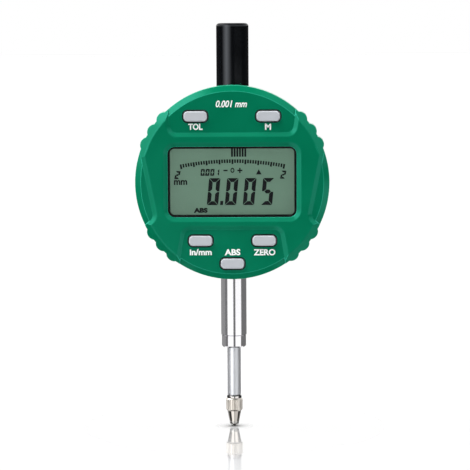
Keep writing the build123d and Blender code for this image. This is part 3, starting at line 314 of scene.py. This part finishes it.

# painted shade: the seal ring's steel colour turns black towards its sides, where it turns away from the eye, and
# stays bright where it faces it
UNSHADED_TO = 0.12  # how far turned away from the eye
SHADE_FROM = 0.38
SEAL_SHADE = screen(34, 34, 36)
seal_tree = looks["dark_steel"].node_tree
seal_bsdf = seal_tree.nodes["Principled BSDF"]
turned_away = add(seal_tree, "ShaderNodeLayerWeight", {"Blend": 0.5}).outputs["Facing"]
black = add(
    seal_tree, "ShaderNodeMapRange", {"Value": turned_away, "From Min": UNSHADED_TO, "From Max": SHADE_FROM}
).outputs["Result"]
side_shaded = add(
    seal_tree,
    "ShaderNodeMix",
    {"Factor": black, "A": seal_bsdf.inputs["Base Color"].links[0].from_socket, "B": SEAL_SHADE},
    data_type="RGBA",
)
seal_tree.links.new(side_shaded.outputs["Result"], seal_bsdf.inputs["Base Color"])

# painted shade on the walls inside the openings of the face and round the keys
WALL_TILT = 0.4  # a surface whose normal turns less than this to the front or back is a wall
OPENINGS_R = 26.0 * MM  # the openings of the face lie within it
SHELL_GAP_Y = -14.3 * MM  # the walls behind it are dark
KEY_GAP_Y = -14.42 * MM  # the same for the keys
GAP_SHADE = screen(8, 9, 10)


def paint_gap_shade(look, front):
    """Painted shade: the walls inside the face's openings, behind the given depth in metres, are coloured near
    black.
    """
    tree = look.node_tree
    bsdf = tree.nodes["Principled BSDF"]
    place = add(tree, "ShaderNodeTexCoord").outputs["Object"]
    where = add(tree, "ShaderNodeSeparateXYZ", {"Vector": place}).outputs
    normal = add(tree, "ShaderNodeNewGeometry").outputs["Normal"]
    frontal = maths(tree, "ABSOLUTE", add(tree, "ShaderNodeSeparateXYZ", {"Vector": normal}).outputs["Y"])
    wall = maths(tree, "LESS_THAN", frontal, WALL_TILT)
    behind = maths(tree, "GREATER_THAN", where["Y"], front)
    up = maths(tree, "SUBTRACT", where["Z"], CASE_Z)
    out = add(tree, "ShaderNodeCombineXYZ", {"X": where["X"], "Y": up}).outputs["Vector"]
    reach = add(tree, "ShaderNodeVectorMath", {0: out}, operation="LENGTH").outputs["Value"]
    inside = maths(tree, "LESS_THAN", reach, OPENINGS_R)
    gap = maths(tree, "MULTIPLY", maths(tree, "MULTIPLY", wall, behind), inside)
    lit = bsdf.inputs["Base Color"].links[0].from_socket
    dark = add(tree, "ShaderNodeMix", {"Factor": gap, "A": lit, "B": GAP_SHADE}, data_type="RGBA")
    tree.links.new(dark.outputs["Result"], bsdf.inputs["Base Color"])


paint_gap_shade(looks["head_green"], SHELL_GAP_Y)
paint_gap_shade(looks["button_grey"], KEY_GAP_Y)

slot_of = {row["node"]: row["material_slot"] for row in frame["record"]["subparts"]}
for name, obj in nodes.items():
    obj.data.materials.clear()
    obj.data.materials.append(looks[slot_of[name]])

white_ink = finish("white_ink", screen(252, 254, 253), 0.5, tone=0.01, grain=0.1)
lcd_ink = finish("lcd_ink", screen(6, 8, 12), 0.5, specular=0.1, tone=0.02, grain=0.1)

# ---------------------------------------------------------------- flat shapes on the face and the display


def plate(bm, outline, front, back):
    """A flat plate with a closed outline of (x, z) in mm, between two depths in mm."""
    rings = []
    for depth in (front, back):
        rings.append([bm.verts.new((x * MM, depth * MM, CASE_Z + z * MM)) for x, z in outline])
    near, far = rings
    bm.faces.new(near)
    bm.faces.new(reversed(far))
    for i in range(len(near)):
        j = (i + 1) % len(near)
        bm.faces.new((near[j], near[i], far[i], far[j]))


def block(bm, low, high, front, back):
    """A flat upright rectangle between two corners (x, z) in mm."""
    plate(bm, [(high[0], low[1]), high, (low[0], high[1]), low], front, back)


def rounded_outline(centre, size, radius, steps=6):
    """The closed outline of a rounded rectangle, as (x, z) in mm."""
    outline = []
    for quarter, (side, top) in enumerate(((1, 1), (-1, 1), (-1, -1), (1, -1))):
        for step in range(steps + 1):
            angle = math.radians(90.0 * (quarter + step / steps))
            outline.append(
                (
                    centre[0] + side * (size[0] / 2 - radius) + radius * math.cos(angle),
                    centre[1] + top * (size[1] / 2 - radius) + radius * math.sin(angle),
                )
            )
    return outline


def border(bm, centre, size, radius, width, front, back):
    """A thin flat border round a rounded rectangle, between two depths in mm."""
    wide = (size[0] + 2 * width, size[1] + 2 * width)
    loops = []
    for outline in (rounded_outline(centre, size, radius), rounded_outline(centre, wide, radius + width)):
        for depth in (front, back):
            loops.append([bm.verts.new((x * MM, depth * MM, CASE_Z + z * MM)) for x, z in outline])
    near_in, far_in, near_out, far_out = loops
    for i in range(len(near_in)):
        j = (i + 1) % len(near_in)
        for one, other in ((near_in, near_out), (near_out, far_out), (far_out, far_in), (far_in, near_in)):
            bm.faces.new((one[i], one[j], other[j], other[i]))


CURVE_STEPS = 5


def lettering(bm, text, centre, size, front, back, lean=0.0, weight=0.0):
    """Text as flat plates that fill the box of the given size in mm about its centre."""
    curve = bpy.data.curves.new("text", "FONT")
    curve.body = text
    curve.offset = weight
    curve.shear = lean
    curve.resolution_u = CURVE_STEPS
    curve.extrude = 0.5
    source = bpy.data.objects.new("text", curve)
    scene.collection.objects.link(source)
    bpy.context.view_layer.update()
    mesh = bpy.data.meshes.new_from_object(source.evaluated_get(bpy.context.evaluated_depsgraph_get()))
    bpy.data.objects.remove(source)
    bpy.data.curves.remove(curve)
    low = [min(v.co[i] for v in mesh.vertices) for i in range(3)]
    high = [max(v.co[i] for v in mesh.vertices) for i in range(3)]
    for v in mesh.vertices:
        across, up, out = ((v.co[i] - low[i]) / (high[i] - low[i]) for i in range(3))
        v.co = (
            (centre[0] + (across - 0.5) * size[0]) * MM,
            (back + (front - back) * out) * MM,
            CASE_Z + (centre[1] + (up - 0.5) * size[1]) * MM,
        )
    bm.from_mesh(mesh)
    bpy.data.meshes.remove(mesh)


SAME_POINT = 0.0004 * MM


def keep(name, bm, material, body):
    """Makes a piece of the flat shapes, riding on a body."""
    bmesh.ops.remove_doubles(bm, verts=bm.verts, dist=SAME_POINT)
    bmesh.ops.recalc_face_normals(bm, faces=bm.faces)
    mesh = bpy.data.meshes.new(name)
    bm.to_mesh(mesh)
    bm.free()
    mesh.materials.append(material)
    piece = bpy.data.objects.new(name, mesh)
    scene.collection.objects.link(piece)
    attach(piece, body)
    return piece


SEGMENTS = {"0": "abcdef", "1": "bc", "2": "abdeg", "5": "acdfg"}


def digit(bm, figure, centre, size, thick, gap, lean, front, back):
    """A seven-segment figure, its segments mitred at the corners."""
    w, h, t = size[0] / 2, size[1] / 2, thick
    bar = [(-w + gap, h), (w - gap, h), (w - t - gap, h - t), (-w + t + gap, h - t)]
    post = [(w, h - gap), (w, gap), (w - t / 2, gap), (w - t, t / 2 + gap), (w - t, h - t - gap)]
    inner = w - t / 2 - gap
    shapes = {
        "a": bar,
        "b": post,
        "c": [(x, -z) for x, z in post],
        "d": [(x, -z) for x, z in bar],
        "e": [(-x, -z) for x, z in post],
        "f": [(-x, z) for x, z in post],
        "g": [(-inner, 0), (-inner + t / 2, t / 2), (inner - t / 2, t / 2),
              (inner, 0), (inner - t / 2, -t / 2), (-inner + t / 2, -t / 2)],
    }
    for segment in SEGMENTS[figure]:
        plate(bm, [(centre[0] + x + z * lean, centre[1] + z) for x, z in shapes[segment]], front, back)


# legends printed on the sunk panels of the face
PANEL_Y = -14.4
INK = 0.02
INK_Y = (PANEL_Y - INK, PANEL_Y)
KEY_WEIGHT = 0.035
legends = bmesh.new()
for text, centre, size in (
    ("TOL", (-11.2, 17.3), (4.4, 1.95)),
    ("M", (11.13, 17.25), (1.85, 1.9)),
    ("in/mm", (-9.8, -21.4), (6.8, 1.95)),
    ("ABS", (0.0, -21.47), (4.85, 1.95)),
    ("ZERO", (9.9, -21.5), (6.7, 1.95)),
):
    lettering(legends, text, centre, size, *INK_Y, weight=KEY_WEIGHT)
lettering(legends, "0.001 mm", (-0.1, 24.3), (9.6, 2.1), *INK_Y, lean=0.25, weight=0.02)
keep("face_legends", legends, white_ink, "display_head")

# painted shade: thin black rings round the keys, standing for the shadowed gaps round them
KEY_HOLE = (7.8, 3.7)
KEY_HOLE_R = 1.5
KEY_SHADE_WIDTH = 0.17
key_shade = bmesh.new()
for key in ("tolerance", "memory", "unit", "zero", "abs"):
    low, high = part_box("button_" + key)
    middle = (low + high) / 2 / MM
    border(key_shade, (middle.x, middle.z - CASE_Z / MM), KEY_HOLE, KEY_HOLE_R, KEY_SHADE_WIDTH, *INK_Y)
keep("key_gap_shade", key_shade, lcd_ink, "display_head")

# the display's dark segments, just in front of the glass
LCD_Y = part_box("lcd_panel")[0].y / MM
SEGMENT_Y = (LCD_Y - 0.04, LCD_Y - 0.02)
LEAN = 0.095
shown = bmesh.new()

# the reading, with its decimal point
BIG_DIGIT = ((3.5, 8.35), 1.22, 0.1, LEAN)  # size, thickness, gap and lean
BIG_DIGIT_Z = -2.83
for figure, x in (("0", -5.76), ("0", -0.2), ("0", 5.36), ("5", 10.92)):
    digit(shown, figure, (x, BIG_DIGIT_Z), *BIG_DIGIT, *SEGMENT_Y)
plate(shown, [(-2.9, -6.95), (-2.8, -5.7), (-3.7, -5.7), (-3.8, -6.95)], *SEGMENT_Y)

# the small resolution figures with their point, and the 2 at each end of the arc
SMALL_DIGIT = ((1.2, 2.1), 0.45, 0.02, LEAN)
SMALL_DIGIT_Z = 3.15
for figure, x in (("0", -9.1), ("0", -7.6), ("0", -6.1), ("1", -4.6)):
    digit(shown, figure, (x, SMALL_DIGIT_Z), *SMALL_DIGIT, *SEGMENT_Y)
block(shown, (-8.5, 2.2), (-8.2, 2.5), *SEGMENT_Y)
END_DIGIT = ((1.5, 2.5), 0.54, 0.02, 0.2)
END_DIGIT_Z = 2.35
for x in (-16.9, 15.75):
    digit(shown, "2", (x, END_DIGIT_Z), *END_DIGIT, *SEGMENT_Y)

# the moving bars
BARS = 6
FIRST_BAR = -0.02
BAR_PITCH = 0.82
BAR_HALF = 0.28
BAR_Z = (7.95, 10.6)
for i in range(BARS):
    x = FIRST_BAR + BAR_PITCH * i
    block(shown, (x - BAR_HALF, BAR_Z[0]), (x + BAR_HALF, BAR_Z[1]), *SEGMENT_Y)

# the arc of graduations
ARC_R = 85.0
ARC_TOP = 7.15
ARC_X = 0.1
ARC_REACH = 16.0  # to each side
HALF_TICKS = 20
LONG_EVERY = 5
LONG_TICK = (1.45, 0.28)  # length, half width
SHORT_TICK = (1.1, 0.25)
for i in range(-HALF_TICKS, HALF_TICKS + 1):
    angle = i * math.asin(ARC_REACH / ARC_R) / HALF_TICKS
    length, half = LONG_TICK if i % LONG_EVERY == 0 else SHORT_TICK
    outline = []
    for side, reach in ((-1, 0), (1, 0), (1, length), (-1, length)):
        r = ARC_R - reach
        outline.append(
            (
                ARC_X + r * math.sin(angle) + side * half * math.cos(angle),
                ARC_TOP - ARC_R + r * math.cos(angle) - side * half * math.sin(angle),
            )
        )
    plate(shown, outline, *SEGMENT_Y)

# minus, plus, zero and the pointer
block(shown, (-2.7, 3.5), (-1.4, 3.92), *SEGMENT_Y)
plate(
    shown,
    [(2.17, 3.5), (2.17, 2.92), (2.59, 2.92), (2.59, 3.5), (3.15, 3.5), (3.15, 3.92),
     (2.59, 3.92), (2.59, 4.5), (2.17, 4.5), (2.17, 3.92), (1.6, 3.92), (1.6, 3.5)],
    *SEGMENT_Y,
)
RING_SIDES = 8
RING_MIDDLE = (0.09, 3.75)
RING_STRETCH = (0.85, 1.1)
RING_OUTER = 0.75
RING_INNER = 0.4
for i in range(RING_SIDES):
    corners = []
    for step, r in ((0, RING_OUTER), (1, RING_OUTER), (1, RING_INNER), (0, RING_INNER)):
        a = 2 * math.pi * (i + step + 0.5) / RING_SIDES
        corners.append(
            (
                RING_MIDDLE[0] + RING_STRETCH[0] * r * math.cos(a),
                RING_MIDDLE[1] + RING_STRETCH[1] * r * math.sin(a),
            )
        )
    plate(shown, corners, *SEGMENT_Y)
plate(shown, [(9.1, 2.45), (8.2, 4.05), (7.3, 2.45)], *SEGMENT_Y)

# the words, and the thin black border
lettering(shown, "mm", (-15.95, 0.05), (4.1, 1.5), *SEGMENT_Y, weight=0.035)
lettering(shown, "ABS", (-9.8, -8.6), (4.3, 1.55), *SEGMENT_Y, weight=0.07)
WINDOW_MIDDLE = (0.0, 0.25)
DISPLAY_EDGE = (38.35, 20.4)
DISPLAY_EDGE_R = 1.3
DISPLAY_BORDER = 0.35
border(shown, WINDOW_MIDDLE, DISPLAY_EDGE, DISPLAY_EDGE_R, DISPLAY_BORDER, *SEGMENT_Y)
segments = keep("lcd_segments", shown, lcd_ink, "display_head")

# ---------------------------------------------------------------- floor

FLOOR_DROP = 0.05 * MM  # just under the contact ball
FLOOR_HALF = 8.0
FLOOR_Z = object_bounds()[0].z - FLOOR_DROP
floor_mesh = bpy.data.meshes.new("floor")
floor_corners = [(x * FLOOR_HALF, y * FLOOR_HALF, FLOOR_Z) for x, y in ((-1, -1), (1, -1), (1, 1), (-1, 1))]
floor_mesh.from_pydata(floor_corners, [], [(0, 1, 2, 3)])
floor = bpy.data.objects.new("floor", floor_mesh)
scene.collection.objects.link(floor)
# polished parts see the room below the horizon too, not the floor
floor.visible_glossy = False
floor_look = finish(
    "floor", screen(150, 150, 150), 0.6, specular=0.0, tone=0.0, rough_range=0.01, grain=3.0
)
# the shine starts round the contact point and fades away from it, at distances in metres
SHINE = 0.72
SHINE_ROUGH = 0.05
SHINE_FADES_BY = 0.14
SHINE_STARTS = (0.0015, 0.0065)
floor_tree = floor_look.node_tree
ground = add(floor_tree, "ShaderNodeTexCoord").outputs["Object"]
under_tip = (0.0, 0.0, FLOOR_Z)
away = add(
    floor_tree, "ShaderNodeVectorMath", {0: ground, 1: under_tip}, operation="DISTANCE"
).outputs["Value"]
fading = {"Value": away, "From Min": 0.0, "From Max": SHINE_FADES_BY, "To Min": SHINE, "To Max": 0.0}
rising = {"Value": away, "From Min": SHINE_STARTS[0], "From Max": SHINE_STARTS[1]}
shares = [add(floor_tree, "ShaderNodeMapRange", ramp).outputs["Result"] for ramp in (fading, rising)]
shine = maths(floor_tree, "MULTIPLY", *shares)
polish = add(
    floor_tree, "ShaderNodeBsdfAnisotropic", {"Color": (1.0, 1.0, 1.0, 1.0), "Roughness": SHINE_ROUGH}
).outputs["BSDF"]
pale = floor_tree.nodes["Principled BSDF"].outputs["BSDF"]
surface = add(floor_tree, "ShaderNodeMixShader", {0: shine, 1: pale, 2: polish}).outputs["Shader"]
floor_tree.links.new(surface, floor_tree.nodes["Material Output"].inputs["Surface"])
floor.data.materials.append(floor_look)

# ---------------------------------------------------------------- the room, in the world's shader

AMBIENT = 0.2  # the room's light on matte surfaces, from all round
RING = 2.0  # and the light tent round the sides of the part, as seen from the front
RING_NARROWS = 6.0  # the power that keeps the tent to the sides
world = bpy.data.worlds.new("world")
world.use_nodes = True
room = world.node_tree


def times(a, b):
    """The product of two values or sockets."""
    return maths(room, "MULTIPLY", a, b)


def band(value, low, high, soft):
    """1 between two angles in degrees, 0 outside, with soft edges."""
    low, high, soft = math.radians(low), math.radians(high), math.radians(soft)
    rising = {"Value": value, "From Min": low - soft, "From Max": low + soft}
    falling = {"Value": value, "From Min": high + soft, "From Max": high - soft}
    edges = [add(room, "ShaderNodeMapRange", ramp).outputs["Result"] for ramp in (rising, falling)]
    return times(*edges)


# what polished surfaces reflect: (azimuth from, to), edge softness, (elevation from, to), brightness.
# Azimuth 0 is the viewer's side and grows towards +X.
ALL_ROUND = (-200, 200)
PANELS = (
    # below the horizon, seen in the upright steel from the front
    ((-58, -3.5), 1.5, (-60, -4), 1.25),
    ((-3.5, 15.5), 1.5, (-60, -17), 0.4),
    ((15.5, 72), 1.5, (-22, -4), 1.2),
    ((15.5, 72), 1.5, (-60, -22), 0.7),
    ((-150, -85), 6.0, (-18, -4), 0.15),
    (ALL_ROUND, 1.0, (-18, -4), 0.16),
    # and from behind
    ((76, 100), 2.0, (-20, -14), 1.1),
    ((116, 134), 2.0, (-20, -14), 1.1),
    ((110, 165), 2.0, (-60, -36), 1.1),
    ((-100, -76), 2.0, (-20, -14), 1.1),
    ((-134, -116), 2.0, (-20, -14), 1.1),
    ((-165, -110), 2.0, (-60, -36), 1.1),
    # a soft light on the cap
    ((-60, -24), 16.0, (-4, 30), 2.9),
    # the white room above the horizon, higher up behind and down to it straight behind
    (ALL_ROUND, 1.0, (6, 60), 0.97),
    ((95, 200), 4.0, (60, 72), 0.97),
    ((-200, -95), 4.0, (60, 72), 0.97),
    ((173, 200), 2.0, (-3, 8), 0.97),
    ((-200, -173), 2.0, (-3, 8), 0.97),
    # small lights that draw the rounded edges
    ((28, 50), 3.0, (22, 40), 0.5),
    ((-50, -28), 3.0, (22, 40), 0.5),
    # lights above
    ((-130, -40), 8.0, (32, 70), 3.2),
    (ALL_ROUND, 1.0, (72, 100), 4.0),
)
DARK_ROOM = 0.05  # what is reflected where there is no panel
ELEVATION_SOFT = 2.0
direction = add(room, "ShaderNodeTexCoord").outputs["Generated"]
way = add(room, "ShaderNodeSeparateXYZ", {"Vector": direction}).outputs
azimuth = maths(room, "ARCTAN2", way["X"], times(way["Y"], -1.0))
elevation = maths(room, "ARCSINE", way["Z"])
reflected = DARK_ROOM
for around, soft, up, level in PANELS:
    shape = times(band(azimuth, *around, soft), band(elevation, *up, ELEVATION_SOFT))
    reflected = maths(room, "ADD", reflected, times(shape, level))
ray = add(room, "ShaderNodeLightPath").outputs
sideways = maths(room, "MULTIPLY_ADD", way["Y"], times(way["Y"], -1.0), 1.0)
tent = maths(room, "POWER", sideways, RING_NARROWS)
matte = maths(room, "MULTIPLY_ADD", tent, RING, AMBIENT)
glossy = {"Factor": ray["Is Glossy Ray"], "A": matte, "B": reflected}
unseen = add(room, "ShaderNodeMix", glossy).outputs["Result"]
sky = add(room, "ShaderNodeMix", {"Factor": ray["Is Camera Ray"], "A": unseen, "B": 1.0}).outputs["Result"]
room.links.new(sky, room.nodes["Background"].inputs["Color"])
scene.world = world

# ---------------------------------------------------------------- lights


def group(name, objects):
    """A collection outside the scene, for a light's links."""
    made = bpy.data.collections.new(name)
    for obj in objects:
        made.objects.link(obj)
    return made


def sun_light(name, towards, energy, softness, lit):
    """A sun of the given softness in degrees that lights one group of objects."""
    data = bpy.data.lights.new(name, "SUN")
    data.energy = energy
    data.angle = math.radians(softness)
    light = bpy.data.objects.new(name, data)
    light.rotation_mode = "QUATERNION"
    light.rotation_quaternion = Vector(towards).to_track_quat("-Z", "Y")
    light.visible_glossy = False
    light.light_linking.receiver_collection = lit
    scene.collection.objects.link(light)
    return light


shown_pieces = [nodes["lcd_panel"], segments]
lit_apart = (floor, *shown_pieces)
part = group("part", [obj for obj in scene.objects if obj.type == "MESH" and obj not in lit_apart])
sun_light("key", towards=(0.5, 0.2, -1.0), energy=4.0, softness=30.0, lit=part)
sun_light("rear_fill", towards=(-0.5, -1.0, -0.6), energy=1.2, softness=60.0, lit=part)
# the display is lit straight from the front, where its frame throws no shadow
display_group = group("shown", shown_pieces)
sun_light("display", towards=(0.0, 1.0, 0.0), energy=1.8, softness=10.0, lit=display_group)
# a small cool light near the lower right, stronger on the bottom of the face
LOW_PLACE = (0.16, -0.12, CASE_Z - 0.26)
LOW_ENERGY = 1.1
LOW_SIZE = 0.1
LOW_COLOUR = (0.75, 1.0, 1.1)
low_data = bpy.data.lights.new("low_fill", "AREA")
low_data.energy = LOW_ENERGY
low_data.size = LOW_SIZE
low_data.color = LOW_COLOUR
low_fill = bpy.data.objects.new("low_fill", low_data)
low_fill.location = LOW_PLACE
low_fill.rotation_mode = "QUATERNION"
low_fill.rotation_quaternion = (Vector((0.0, 0.0, CASE_Z)) - low_fill.location).to_track_quat("-Z", "Y")
low_fill.visible_glossy = False
low_fill.light_linking.receiver_collection = part
scene.collection.objects.link(low_fill)
# the floor's own light from above, in which only the contact point throws a shadow
ground_group = group("ground", [floor])
overhead = sun_light("overhead", towards=(0.0, 0.0, -1.0), energy=7.3, softness=50.0, lit=ground_group)
overhead.light_linking.blocker_collection = group("tip", [nodes["contact_point"], nodes["contact_ball"]])

scene.view_settings.view_transform = "Standard"
